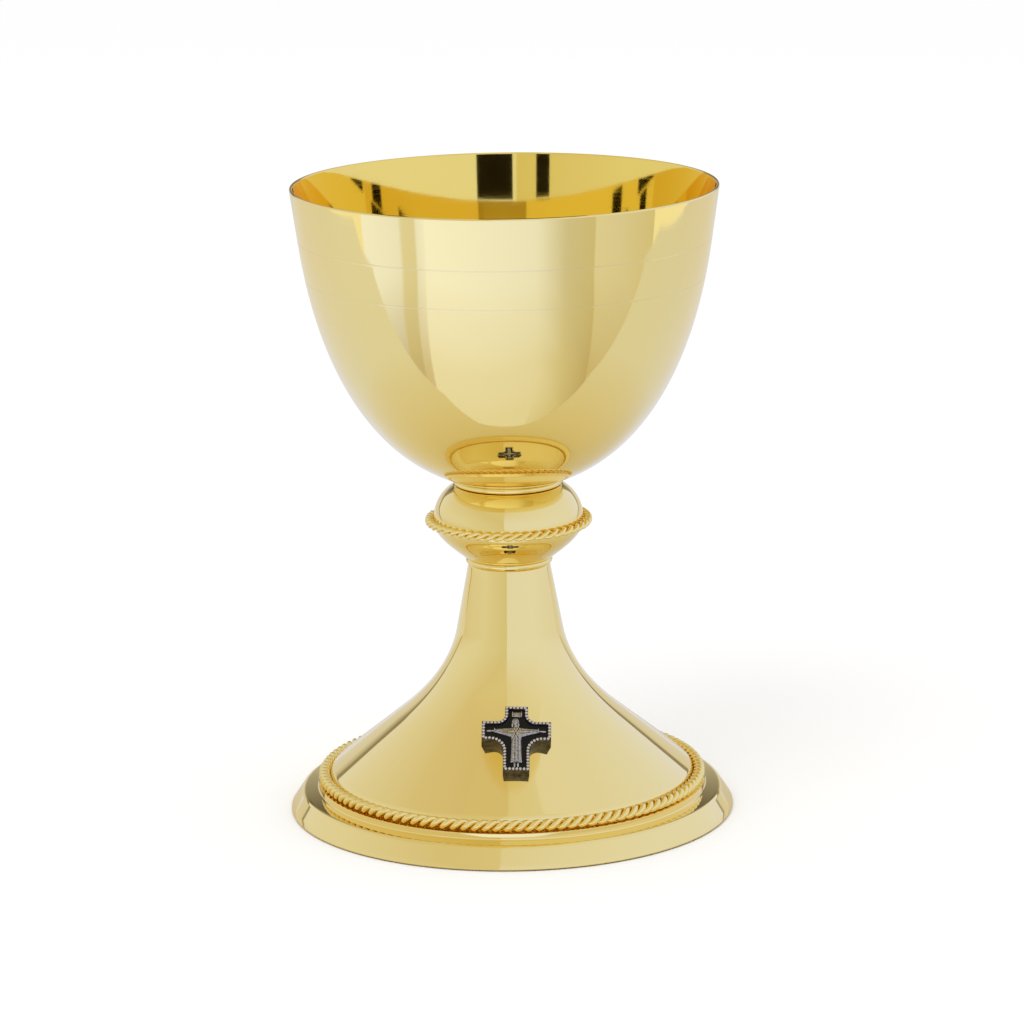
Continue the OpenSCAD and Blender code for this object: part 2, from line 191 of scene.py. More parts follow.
class Studio(bpy.types.PropertyGroup):
    """The camera's place and the tones of the studio."""
    distance: length("Distance", "Distance of the camera from the axis of the cup", 1165)
    height: length("Height", "Height of the camera above the table", 362.4)
    azimuth: angle("Azimuth", "Turn of the camera round the cup, towards the left", 2.6)
    pitch: angle("Pitch", "Dip of the camera below level", 13.35)
    roll: angle("Roll", "Roll of the camera", 0.74)
    side_step: length("Side step", "Shift of the camera to its right", 1)
    lens: FloatProperty(name="Lens", description="Focal length on a 36 mm sensor", default=148.3,
                        unit="CAMERA")
    floor: colour("Floor", "White floor", "#FFFFFF")
    table: colour("Table", "Table top that the metal sees", "#DDE2F9")
    # Painted light: the table close to the foot takes this warm tone for light that the gold throws onto it
    table_painted_gold_light: colour("Warm table", "Table top close to the foot, in the gold's own light", "#D9D1BE")
    window: colour("Window", "The window in front", "#C2CCFF")
    daylight: colour("Daylight", "Cloth with the window behind it", "#D0D7FF")
    canvas: colour("Canvas", "Cloth in even light", "#E9ECFF")
    cream: colour("Cream", "Cloth that the gold's own light warms", "#E1DED8")
    shade: colour("Shade", "Cloth in the shade", "#D0C5B1")
    # The dark sheets over the bowl's mouth take this tone as painted reflections of gaps in the cloth
    gap: colour("Gap", "Dark room behind a gap in the cloth", "#3A352C")


class AltarCup(bpy.types.PropertyGroup):
    """Every size and colour of the altar cup."""
    cup: PointerProperty(type=CupSizes)
    stand: PointerProperty(type=StandSizes)
    rope: PointerProperty(type=RopeSizes)
    cross: PointerProperty(type=CrossSizes)
    finish: PointerProperty(type=Finishes)
    studio: PointerProperty(type=Studio)


# Shader nodes and finishes

# Most of the noise lies between these values
NOISE_REACH = {"From Min": 0.3, "From Max": 0.7}


def add_node(tree, kind, inputs=None, **settings):
    """Add a node, set its fields, and link or set its inputs by name or number."""
    node = tree.nodes.new(kind)
    for field, value in settings.items():
        setattr(node, field, value)
    for socket, value in (inputs or {}).items():
        if isinstance(value, bpy.types.NodeSocket):
            tree.links.new(value, node.inputs[socket])
        else:
            node.inputs[socket].default_value = value
    return node


def new_finish(name, **sockets):
    """A material with a principled shader, whose constant sockets are given by name."""
    finish = bpy.data.materials.new(name)
    finish.use_nodes = True
    shader = finish.node_tree.nodes["Principled BSDF"]
    for socket, value in sockets.items():
        shader.inputs[socket.replace("_", " ")].default_value = value
    return finish, finish.node_tree, shader


def marks(tree, size_mm, stretch=(1, 1, 1), detail=3.0):
    """Noise on object coordinates, whose features are about size_mm long, times stretch."""
    place = add_node(tree, "ShaderNodeTexCoord").outputs["Object"]
    scale = tuple(1 / (size_mm * MM * along) for along in stretch)
    mapped = add_node(tree, "ShaderNodeMapping", {"Vector": place, "Scale": scale})
    noise = add_node(tree, "ShaderNodeTexNoise",
                     {"Vector": mapped.outputs[0], "Scale": 1.0, "Detail": detail})
    return noise.outputs[0]


def worked(tree, shader, wear, smooth, rough, relief, depth_mm):
    """Let wear vary the roughness from smooth to rough, and relief stand proud by depth_mm."""
    roughness = add_node(tree, "ShaderNodeMapRange",
                         {"Value": wear, "To Min": smooth, "To Max": rough, **NOISE_REACH})
    bump = add_node(tree, "ShaderNodeBump", {"Height": relief, "Distance": depth_mm * MM})
    tree.links.new(roughness.outputs[0], shader.inputs["Roughness"])
    tree.links.new(bump.outputs[0], shader.inputs["Normal"])


def mottled(tree, shader, stain, first, second):
    """Let stain take the colour from first to second."""
    share = add_node(tree, "ShaderNodeMapRange", {"Value": stain, **NOISE_REACH})
    tone = add_node(tree, "ShaderNodeMix", {0: share.outputs[0], 6: first, 7: second}, data_type="RGBA")
    tree.links.new(tone.outputs[2], shader.inputs["Base Color"])


def polished(name, gold):
    """Gold plate mopped to a mirror, under a film of clear lacquer.

    The eye gets sharp reflections in gold that pale towards the edges, where the lacquer shines, and
    the soft run of the mop round the axis. The mop's lines are drawn 0.5 mm apart, coarser than real.
    """
    finish, tree, shader = new_finish(name, Metallic=1.0, Base_Color=gold, Coat_Weight=0.4,
                                      Coat_Roughness=0.03, Coat_IOR=1.5)
    mop = marks(tree, 0.5, (60, 60, 1))
    ripple = marks(tree, 9, (2, 2, 1), detail=1.0)
    worked(tree, shader, mop, 0.03, 0.065, ripple, 0.004)
    return finish


def gold_plate_polished(colours):
    """Pale gold plate over brass, mirror polished, on every outside."""
    return polished("gold plate, mirror polished", colours.gold)


def gold_plate_bowl(colours):
    """Gold inside the bowl in a deeper yellow. This is a painted reflection: it stands in for the colour
    that the bowl's inside takes from mirroring its own gold. The render deepens it again where it mirrors
    itself.
    """
    return polished("gold plate deepened as painted reflection, mirror polished", colours.deep_gold_and_painted_reflection)


def gold_scribed(colours):
    """The bottom of a scribed line: satin gold, which shows as a fine line in the mirror round it."""
    return new_finish("gold plate, scribed", Metallic=1.0, Base_Color=colours.scribed, Roughness=0.22)[0]


def gold_plate_spun(colours):
    """Gold plate on the hidden side of a spun shell, left as the spinning tool made it.

    The eye gets blurred reflections and fine rings round the axis, drawn 0.8 mm apart.
    """
    finish, tree, shader = new_finish("gold plate, as spun", Metallic=1.0)
    mottled(tree, shader, marks(tree, 14), colours.gold, colours.deep_gold_and_painted_reflection)
    rings = marks(tree, 0.8, (80, 80, 1))
    worked(tree, shader, rings, 0.2, 0.38, rings, 0.02)
    return finish


def brass_turned(colours):
    """Bare brass off the lathe: a satin, darker yellow with tool rings 0.3 mm apart."""
    finish, tree, shader = new_finish("brass, turned", Metallic=1.0, Base_Color=colours.brass)
    rings = marks(tree, 0.3, (60, 60, 1), detail=2.0)
    worked(tree, shader, rings, 0.18, 0.36, rings, 0.01)
    return finish


def steel_zinc_plated(colours):
    """Zinc plated steel: a cool satin grey with a cloudy spangle about 2 mm wide."""
    finish, tree, shader = new_finish("steel, zinc plated", Metallic=1.0, Base_Color=colours.zinc)
    spangle = marks(tree, 2, detail=4.0)
    worked(tree, shader, spangle, 0.28, 0.46, spangle, 0.008)
    return finish


def leather_cut(colours):
    """Vegetable tanned leather cut from sheet: matt brown with pores 0.4 mm apart."""
    finish, tree, shader = new_finish("leather, vegetable tanned", Roughness=0.62)
    place = add_node(tree, "ShaderNodeTexCoord").outputs["Object"]
    cells = add_node(tree, "ShaderNodeTexVoronoi", {"Vector": place, "Scale": 1 / (0.4 * MM)})
    pores = cells.outputs["Distance"]
    tone = add_node(tree, "ShaderNodeMix", {0: pores, 6: colours.leather_dark, 7: colours.leather},
                    data_type="RGBA")
    bump = add_node(tree, "ShaderNodeBump", {"Height": pores, "Distance": 0.06 * MM})
    tree.links.new(tone.outputs[2], shader.inputs["Base Color"])
    tree.links.new(bump.outputs[0], shader.inputs["Normal"])
    return finish


def silver_oxidised(colours):
    """Cast silver blackened with sulphur, then handled: a dark brown metal, satin and uneven."""
    finish, tree, shader = new_finish("silver, oxidised", Metallic=1.0)
    mottled(tree, shader, marks(tree, 1.6, detail=4.0), colours.tarnish, colours.tarnish_worn)
    grain = marks(tree, 0.35)
    worked(tree, shader, grain, 0.26, 0.5, grain, 0.02)
    return finish


def niello_black(colours):
    """Niello fused into the sunk field: a near black, semi matt ground with a fine pitted skin."""
    finish, tree, shader = new_finish("niello, fused", Base_Color=colours.niello, Specular_IOR_Level=0.2)
    pits = marks(tree, 0.25, detail=4.0)
    worked(tree, shader, pits, 0.32, 0.55, pits, 0.03)
    return finish


def silver_rubbed(colours):
    """Cast silver blackened all over, then rubbed: bright where it stands proud, dark in its hollows.

    The attribute relief is 0 in the hollows and 1 on what stands proud of its surroundings.
    """
    finish, tree, shader = new_finish("silver, cast and rubbed", Metallic=1.0)
    relief = add_node(tree, "ShaderNodeAttribute", attribute_name="relief")
    stain = marks(tree, 0.5, detail=4.0)
    drift = add_node(tree, "ShaderNodeMapRange",
                     {"Value": stain, "To Min": -0.25, "To Max": 0.25, **NOISE_REACH})
    rub = add_node(tree, "ShaderNodeMath", {0: relief.outputs["Fac"], 1: drift.outputs[0]},
                   operation="ADD", use_clamp=True)
    tone = add_node(tree, "ShaderNodeMix", {0: rub.outputs[0], 6: colours.tarnish, 7: colours.silver},
                    data_type="RGBA")
    tree.links.new(tone.outputs[2], shader.inputs["Base Color"])
    worked(tree, shader, stain, 0.2, 0.36, stain, 0.015)
    return finish


made_finishes = {}


def finished(context, make):
    """The finish that make gives, made the first time that a piece asks for it."""
    if make not in made_finishes:
        made_finishes[make] = make(context.scene.altar_cup.finish)
    return made_finishes[make]


# Outlines, as points of radius and height

def bend(before, corner, after, start, end, steps):
    """A round bend at a corner, from start before it to end after it."""
    first = corner + (before - corner).normalized() * start
    last = corner + (after - corner).normalized() * end
    return interpolate_bezier(first, first.lerp(corner, 2 / 3), last.lerp(corner, 2 / 3), last, steps)


def arc(centre, radius, start, end, steps):
    """Points along an arc, by angles from the level."""
    turns = [start + (end - start) * i / (steps - 1) for i in range(steps)]
    return [centre + radius * Vector((math.cos(a), math.sin(a))) for a in turns]


def refined(outline):
    """The same outline with points added, so that no step is longer than LONGEST_STEP."""
    points = [outline[0]]
    for point in outline[1:]:
        steps = max(1, math.ceil((point - points[-1]).length / LONGEST_STEP))
        start = points[-1]
        points += [start.lerp(point, i / steps) for i in range(1, steps + 1)]
    return points


def cup_outline(size):
    """The outside of the bowl, from the top of its lip down to the middle of its floor."""
    lean = Vector((math.sin(size.rim_lean), math.cos(size.rim_lean)))
    lip_centre = Vector((size.rim_radius - size.wall / 2, CUP_HIGH.z - size.wall / 2))
    lip_out = lip_centre + size.wall / 2 * Vector((lean.y, -lean.x))
    band_end = lip_out - lean * size.rim_band / lean.y
    bowl_end = Vector((NECK_HIGH.x, CUP_LOW.z + size.floor_drop))
    rise = Vector((math.cos(size.slope), math.sin(size.slope)))
    bowl = interpolate_bezier(band_end, band_end - lean * size.pull_top,
                              bowl_end + rise * size.pull_low, bowl_end, 64)
    middle = Vector((0, CUP_LOW.z))
    floor_bend = Vector((bowl_end.x - size.floor_drop / math.tan(size.slope), CUP_LOW.z))
    run = (bowl_end - floor_bend).length
    floor = bend(bowl_end, floor_bend, middle, run * 0.98, run, 12)
    return refined([lip_out + lean * size.wall / 2] + bowl + floor + [middle])


def knop_top_outline(size):
    """The upper half of the knop, from its flat top to the seam."""
    top = KNOP_TOP_HIGH
    seam = KNOP_TOP_LOW.z
    rise = top.z - seam - size.land
    depth = top.x - NECK_HIGH.x
    belly = (depth ** 2 + rise ** 2) / (2 * depth)
    centre = Vector((top.x - belly, seam + size.land))
    flat = Vector((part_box("knop_bush")[1].x, top.z))
    return refined([flat] + arc(centre, belly, math.asin(rise / belly), 0, 40) + [Vector((top.x, seam))])


def knop_base_outline(size):
    """The lower half of the knop, from the seam to the hole for the bolt."""
    seam = Vector((KNOP_BASE_HIGH.x, KNOP_BASE_HIGH.z))
    base = Vector((size.knop_foot_radius, KNOP_BASE_LOW.z))
    height = seam.y - base.y
    belly = interpolate_bezier(
        seam - Vector((0, size.land)), seam - Vector((0, 0.4 * height)),
        base + Vector((0.3 * (seam.x - base.x), 0.2 * height)), base, 40)
    return refined([seam] + belly + [Vector((size.bolt_hole, base.y))])


def stem_outline(size):
    """The outside of the stem, from the hole at its top to the lower edge of its skirt."""
    top_round, skirt_round = 0.5 * MM, 1.2 * MM
    top = Vector((size.stem_radius, STEM_HIGH.z))
    skirt = Vector((STEM_HIGH.x, STEM_LOW.z + size.skirt_height))
    taper = math.tan(size.stem_taper)
    cone = Vector((-math.cos(size.cone_angle), math.sin(size.cone_angle)))
    run = (skirt.x - top.x - (top.y - skirt.y) * taper) / (-cone.x - cone.y * taper)
    flare = skirt + cone * run
    base = Vector((STEM_HIGH.x, STEM_LOW.z))
    return refined(
        [Vector((size.bolt_hole, top.y))]
        + bend(Vector((0, top.y)), top, flare, top_round, top_round, 8)
        + bend(top, flare, skirt, size.flare_up, size.flare_down, 56)
        + bend(flare, skirt, base, skirt_round, skirt_round, 14)
        + [base])


def foot_outline(size):
    """The outside of the foot ring, from under the stem's skirt to the table."""
    ledge = Vector((size.ledge_radius, FOOT_HIGH.z))
    riser = ledge - Vector((0, size.riser))
    edge = Vector((FOOT_HIGH.x, size.land))
    slope = math.tan(size.flange_slope)
    lean = math.tan(size.foot_lean)
    shoulder_z = (riser.y - (edge.x - ledge.x) * slope) / (1 - lean * slope)
    shoulder = Vector((edge.x - shoulder_z * lean, shoulder_z))
    inner = Vector((STEM_HIGH.x - 2 * size.stem_wall, FOOT_HIGH.z))
    return refined(
        [inner, ledge]
        + bend(ledge, riser, shoulder, size.riser_fillet, size.riser_fillet, 8)
        + bend(riser, shoulder, edge, size.foot_round, size.foot_round, 14)
        + [edge, Vector((edge.x, 0))])


# Meshes and objects

def spun(outline, closed=False):
    """Spin an outline round the axis, with its poles closed and its faces pointing outwards."""
    bm = bmesh.new()
    verts = [bm.verts.new((point.x, 0, point.y)) for point in outline]
    following = verts[1:] + verts[:1] if closed else verts[1:]
    edges = [bm.edges.new(pair) for pair in zip(verts, following)]
    bmesh.ops.spin(bm, geom=verts + edges, cent=(0, 0, 0), axis=AXIS, angle=FULL_TURN,
                   steps=SPIN_STEPS, use_merge=True)
    bmesh.ops.remove_doubles(bm, verts=bm.verts, dist=SAME_PLACE)
    bmesh.ops.recalc_face_normals(bm, faces=bm.faces)
    return bm


def bevelled(bm, geom, offset, segments, affect="EDGES"):
    """Round edges, or the corners of a flat face."""
    bmesh.ops.bevel(bm, geom=geom, offset=offset, offset_type="OFFSET", segments=segments,
                    profile=0.5, affect=affect, material=-1)


def rounded_edges(bm, offset, segments, steeper_than=50):
    """Round every edge at which two faces meet more steeply than that many degrees."""
    steep = math.radians(steeper_than)
    edges = [e for e in bm.edges if len(e.link_faces) == 2 and e.calc_face_angle() > steep]
    bevelled(bm, edges, offset, segments)


def shell(outline, wall, edge_round, segments=3):
    """A spun shell with its wall, and its edges rounded."""
    bm = spun(outline)
    bmesh.ops.solidify(bm, geom=bm.faces[:], thickness=wall)
    rounded_edges(bm, edge_round, segments)
    return bm


def from_axis(point):
    """The level direction from the axis to a point."""
    return Vector((point.x, point.y, 0)).normalized()


def mark_inside(bm, opening):
    """Give the second finish to the faces that look at the axis, or out of the opening along opening."""
    bm.normal_update()
    for face in bm.faces:
        inward = face.normal.dot(opening) - face.normal.dot(from_axis(face.calc_center_median()))
        face.material_index = 1 if inward > 0 else 0


def new_mesh(bm, name):
    """A mesh from a bmesh, which is freed."""
    mesh = bpy.data.meshes.new(name)
    bm.normal_update()
    bm.to_mesh(mesh)
    bm.free()
    return mesh


def bmesh_of(mesh):
    """A bmesh from a mesh, which is removed."""
    bm = bmesh.new()
    bm.from_mesh(mesh)
    bpy.data.meshes.remove(mesh)
    return bm


def new_object(context, name, data):
    """An object at the origin, in the scene's own collection."""
    thing = bpy.data.objects.new(name, data)
    context.scene.collection.objects.link(thing)
    return thing


def baked(context, thing):
    """The mesh that an object's curve or modifiers make. The object is removed."""
    mesh = bpy.data.meshes.new_from_object(thing.evaluated_get(context.evaluated_depsgraph_get()))
    bpy.data.objects.remove(thing)
    return mesh


def place_piece(context, mesh, body, nodes, finishes):
    """Show a mesh as a finished piece that rides on a body and stands for its nodes."""
    mesh.shade_smooth()
    mesh.set_sharp_from_angle(angle=SHARP_ANGLE)
    for make in finishes:
        mesh.materials.append(finished(context, make))
    piece = new_object(context, mesh.name, mesh)
    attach(piece, body)
    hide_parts(*nodes)
    return piece


def gilt_piece(context, bm, name, body, node, finishes=(gold_plate_polished,)):
    """Show a gilt piece. Its large faces settle the shading at a bend, so that the mirror stays true."""
    piece = place_piece(context, new_mesh(bm, name), body, [node], finishes)
    piece.modifiers.new("even shading", "WEIGHTED_NORMAL").keep_sharp = True


class ALTARCUP_OT_cup(bpy.types.Operator):
    """Spin the bowl, give it its wall, round its lip and scribe its two lines"""
    bl_idname = "altar_cup.cup"
    bl_label = "Cup"

    def execute(self, context):
        size = context.scene.altar_cup.cup
        bm = shell(cup_outline(size), size.wall, edge_round=size.wall * 0.49, segments=8)
        mark_inside(bm, AXIS)
        for below_rim in (size.upper_line, size.lower_line):
            self.scribe(bm, CUP_HIGH.z - below_rim, size)
        # The second finish paints the bowl's inside a deeper gold, as a painted reflection
        finishes = (gold_plate_polished, gold_plate_bowl, gold_scribed)
        gilt_piece(context, bm, "cup_bowl", "cup", "cup", finishes)
        return {"FINISHED"}

    def scribe(self, bm, z, size):
        """Cut a fine groove round the outside at that height, and give it the third finish."""
        half = size.line_width / 2
        for step in (-2 * half, -half, 0, half, 2 * half):
            outside = [f for f in bm.faces if f.material_index != 1]
            geom = set(outside)
            for face in outside:
                geom.update(face.edges)
                geom.update(face.verts)
            bmesh.ops.bisect_plane(bm, geom=list(geom), dist=SAME_PLACE, plane_co=(0, 0, z + step),
                                   plane_no=AXIS)
        groove = [f for f in bm.faces if f.material_index != 1
                  and all(abs(v.co.z - z) < half + SAME_PLACE for v in f.verts)]
        for face in groove:
            face.material_index = 2
        for vert in {v for f in groove for v in f.verts if abs(v.co.z - z) < SAME_PLACE}:
            vert.co -= from_axis(vert.co) * size.line_depth


class ALTARCUP_OT_neck(bpy.types.Operator):
    """Turn the neck ring, the screw stud with its thread, and the seat washer"""
    bl_idname = "altar_cup.neck"
    bl_label = "Neck ring and screw"

    def execute(self, context):
        size = context.scene.altar_cup.cup
        self.ring(context, size)
        self.stud(context, size)
        self.washer(context, size)
        return {"FINISHED"}

    def ring(self, context, size):
        """A half-round bead, with its upper side shaped to the bottom of the bowl."""
        bead = (CUP_LOW.z - NECK_LOW.z + size.floor_drop) / 2
        centre = Vector((NECK_HIGH.x - bead, NECK_LOW.z + bead))
        inner = STUD_HIGH.x + SOLDER
        under_cup = [Vector((centre.x - 1.2 * MM, CUP_LOW.z + 2 * SOLDER)),
                     Vector((inner, CUP_LOW.z - SOLDER))]
        section = arc(centre, bead, -math.pi / 2, math.radians(55), 24) + under_cup
        bm = spun(section + [Vector((inner, NECK_LOW.z))], closed=True)
        gilt_piece(context, bm, "neck_bead", "cup", "neck_ring")

    def stud(self, context, size):
        """A boss, and a thread whose outline climbs one pitch in each turn."""
        crest = size.thread_radius
        root = crest - size.thread_depth
        steps = 48
        turns = math.ceil((STUD_HIGH.z - STUD_LOW.z) / size.thread_pitch) + 1
        # The corners of one tooth: a radius and a share of the pitch
        tooth = [(root, 0), (root, 0.12), (crest, 0.48), (crest, 0.62), (root, 1)]
        start = STUD_LOW.z - size.thread_pitch
        bm = bmesh.new()
        verts = [bm.verts.new((radius, 0, start + share * size.thread_pitch)) for radius, share in tooth]
        edges = [bm.edges.new(pair) for pair in zip(verts, verts[1:])]
        bmesh.ops.spin(bm, geom=verts + edges, cent=(0, 0, 0), axis=AXIS, angle=FULL_TURN * turns,
                       steps=steps * turns, dvec=AXIS * size.thread_pitch / steps)
        bmesh.ops.remove_doubles(bm, verts=bm.verts, dist=SAME_PLACE * 10)
        inside_boss = NECK_LOW.z + 0.2 * MM
        for height, side in ((STUD_LOW.z, -1), (inside_boss, 1)):
            cut = bmesh.ops.bisect_plane(bm, geom=bm.verts[:] + bm.edges[:] + bm.faces[:],
                                         plane_co=(0, 0, height), plane_no=AXIS * side, clear_outer=True)
            rim = [e for e in cut["geom_cut"] if isinstance(e, bmesh.types.BMEdge)]
            bmesh.ops.contextual_create(bm, geom=rim)
        bmesh.ops.recalc_face_normals(bm, faces=bm.faces)
        boss = new_mesh(self.boss(crest), "boss")
        bm.from_mesh(boss)
        bpy.data.meshes.remove(boss)
        mesh = new_mesh(bm, "screw_stud")
        place_piece(context, mesh, "cup", ["cup_stud"], [brass_turned])

    def boss(self, crest):
        """The disc above the thread, with its lower edges chamfered."""
        chamfer = 0.3 * MM
        low, high, radius = NECK_LOW.z, CUP_LOW.z, STUD_HIGH.x
        corners = [(0, high), (radius, high), (radius, low + chamfer), (radius - chamfer, low),
                   (crest + chamfer, low), (crest, low + chamfer), (0, low + chamfer)]
        return spun([Vector(corner) for corner in corners])

    def washer(self, context, size):
        inner, outer = size.thread_radius + TURN_GAP, WASHER_HIGH.x
        low, high = WASHER_LOW.z, WASHER_HIGH.z
        corners = [(inner, low), (outer, low), (outer, high), (inner, high)]
        bm = spun([Vector(corner) for corner in corners], closed=True)
        rounded_edges(bm, offset=0.2 * MM, segments=3)
        mesh = new_mesh(bm, "leather_seat")
        place_piece(context, mesh, "washer", ["seat_washer"], [leather_cut])


class ALTARCUP_OT_knop(bpy.types.Operator):
    """Spin the two halves of the knop and turn the collar below it"""
    bl_idname = "altar_cup.knop"
    bl_label = "Knop"

    def execute(self, context):
        size = context.scene.altar_cup.stand
        halves = {"knop_upper": knop_top_outline(size), "knop_lower": knop_base_outline(size)}
        for node, outline in halves.items():
            half = shell(outline, size.knop_wall, edge_round=0.12 * MM)
            gilt_piece(context, half, node + "_shell", "stand", node)
        bead = (COLLAR_HIGH.z - COLLAR_LOW.z) / 2
        centre = Vector((COLLAR_HIGH.x - bead, COLLAR_LOW.z + bead))
        section = arc(centre, bead, -math.pi / 2, math.pi / 2, 32)
        hole = [Vector((size.bolt_hole, COLLAR_HIGH.z)), Vector((size.bolt_hole, COLLAR_LOW.z))]
        gilt_piece(context, spun(section + hole, closed=True), "collar_bead", "stand", "stem_collar")
        return {"FINISHED"}


def open_shell(context, outline, wall, name, node):
    """A spun shell that is open below, polished outside and left as spun inside."""
    bm = shell(outline, wall, edge_round=0.15 * MM)
    mark_inside(bm, -AXIS)
    gilt_piece(context, bm, name, "stand", node, (gold_plate_polished, gold_plate_spun))


class ALTARCUP_OT_stem(bpy.types.Operator):
    """Spin the stem that flares into the foot cone"""
    bl_idname = "altar_cup.stem"
    bl_label = "Stem"

    def execute(self, context):
        size = context.scene.altar_cup.stand
        open_shell(context, stem_outline(size), size.stem_wall, "stem_shell", "stem")
        return {"FINISHED"}


class ALTARCUP_OT_foot(bpy.types.Operator):
    """Spin the stepped ring that the cup stands on"""
    bl_idname = "altar_cup.foot"
    bl_label = "Foot ring"

    def execute(self, context):
        size = context.scene.altar_cup.stand
        open_shell(context, foot_outline(size), size.foot_wall, "foot_shell", "foot_ring")
        return {"FINISHED"}


class ALTARCUP_OT_ropes(bpy.types.Operator):
    """Twist two wires into each of the rope mouldings"""
    bl_idname = "altar_cup.ropes"
    bl_label = "Rope mouldings"

    points_per_twist = 16

    def execute(self, context):
        size = context.scene.altar_cup.rope
        self.twist(context, "knop_rope", size.knop_diameter, size.knop_turns)
        self.twist(context, "foot_rope", size.foot_diameter, size.foot_turns)
        return {"FINISHED"}

    def twist(self, context, node, diameter, turns):
        """Draw two wires that wind round each other along a ring."""
        low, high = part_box(node)
        middle = (low.z + high.z) / 2
        ring_radius = high.x - diameter / 2
        coil = diameter / 4
        points = self.points_per_twist * turns
        line = bpy.data.curves.new(node, "CURVE")
        line.dimensions = "3D"
        line.bevel_depth = coil
        line.bevel_resolution = 3
        for start in (0, math.pi):
            wire = line.splines.new("POLY")
            wire.use_cyclic_u = True
            wire.points.add(points - 1)
            for i, point in enumerate(wire.points):
                around = FULL_TURN * i / points
                twisted = turns * around + start
                radius = ring_radius + coil * math.cos(twisted)
                point.co = (radius * math.cos(around), radius * math.sin(around),
                            middle + coil * math.sin(twisted), 1)
        mesh = baked(context, new_object(context, node + "_line", line))
        mesh.name = node.replace("rope", "twist")
        place_piece(context, mesh, "stand", [node], [gold_plate_polished])


# The cross has a frame of its own: x across, y up the cone, z out of its face

def cross_place(stand, size):
    """Where the cross sits on the cone."""
    up = Vector((-math.cos(stand.cone_angle), math.sin(stand.cone_angle)))
    out = Vector((math.sin(stand.cone_angle), math.cos(stand.cone_angle)))
    at = Vector((STEM_HIGH.x, STEM_LOW.z + stand.skirt_height)) + up * size.rise + out * size.thickness
    return (Matrix.Translation((0, -at.x, at.y)) @ Matrix.Rotation(stand.cone_angle, 4, "X")
            @ Matrix.Rotation(-size.turn, 4, "Z"))


def cross_face(bm, size):
    """The outline of the cross as one flat face, with its inner corners rounded."""
    arm, head, foot = size.arm_width / 2, size.head_width / 2, size.foot_width / 2
    right = [(foot, size.head_height - size.height), (foot, -arm), (size.width / 2, -arm),
             (size.width / 2, arm), (head, arm), (head, size.head_height)]
    outline = right + [(-x, y) for x, y in reversed(right)]
    bm.faces.new([bm.verts.new((x, y, 0)) for x, y in outline])
    for x, y, fillet in ((foot, -arm, size.lower_fillet), (head, arm, size.upper_fillet)):
        inner = [v for v in bm.verts
                 if (Vector((abs(v.co.x), v.co.y)) - Vector((x, y))).length < SAME_PLACE]
        bevelled(bm, inner, fillet, segments=10, affect="VERTICES")
    bm.faces.ensure_lookup_table()
    return bm.faces[0]


def inset_face(bm, face, border, depth=0.0):
    """Shrink a face by a border, sink it by depth, and give back the ring of faces around it."""
    return bmesh.ops.inset_region(bm, faces=[face], thickness=border, depth=-depth, use_boundary=True,
                                  use_even_offset=True)["faces"]


def spaced(loop, pitch):
    """Points at an even pitch, as near to pitch as fits, along a closed loop of points."""
    closed = loop + loop[:1]
    total = sum((b - a).length for a, b in zip(closed, closed[1:]))
    count = round(total / pitch)
    gap = total / count
    places = []
    travelled = 0.0
    for a, b in zip(closed, closed[1:]):
        step = (b - a).length
        while len(places) < count and len(places) * gap <= travelled + step:
            places.append(a.lerp(b, (len(places) * gap - travelled) / step))
        travelled += step
    return places


def mark_relief(mesh, values):
    """Say for each vertex how far it stands proud, which the rubbed silver reads."""
    mesh.attributes.new("relief", "FLOAT", "POINT").data.foreach_set("value", values)


